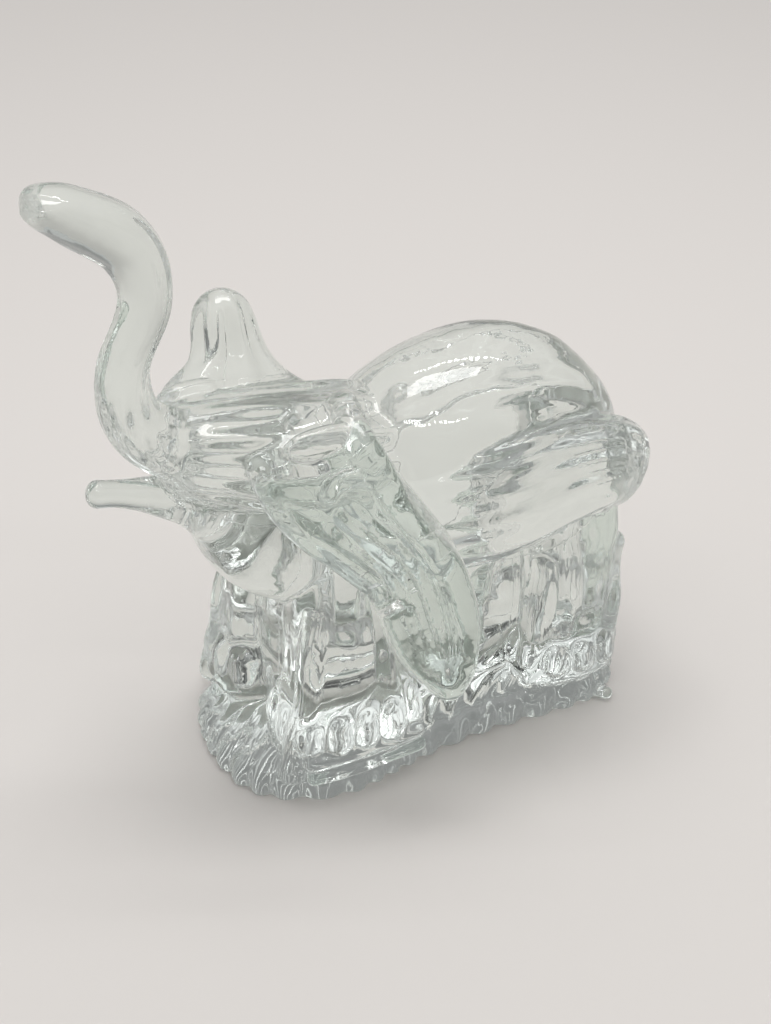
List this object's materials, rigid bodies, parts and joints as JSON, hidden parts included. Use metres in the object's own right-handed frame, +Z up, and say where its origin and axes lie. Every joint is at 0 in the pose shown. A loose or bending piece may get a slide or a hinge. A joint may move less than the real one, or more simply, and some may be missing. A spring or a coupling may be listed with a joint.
{
  "type": "glass elephant figurine",
  "caption": "Solid clear hot-worked glass elephant with raised trunk, draped ears and crimped feet, standing on a scalloped glass base as a table ornament.",
  "frame": {"origin": "middle of the flat underside of the base", "axes": "+Z up, -Y the way the elephant faces, +X to the elephant's left"},
  "size_m": [0.0476, 0.0873, 0.0981],
  "materials": {
    "clear_glass": "fire-polished clear glass with a faint grey-green tint, soft waves and tool marks"
  },
  "bodies": {
    "root": {"base": "clear_glass", "body": "clear_glass", "left_flank": "clear_glass", "right_flank": "clear_glass", "front_left_foot": "clear_glass", "front_right_foot": "clear_glass", "hind_left_foot": "clear_glass", "hind_right_foot": "clear_glass", "front_left_leg": "clear_glass", "front_right_leg": "clear_glass", "hind_left_leg": "clear_glass", "hind_right_leg": "clear_glass", "head": "clear_glass", "lower_jaw": "clear_glass", "belly": "clear_glass", "tail": "clear_glass", "trunk": "clear_glass", "left_ear": "clear_glass", "right_ear": "clear_glass"}
  },
  "joints": []
}
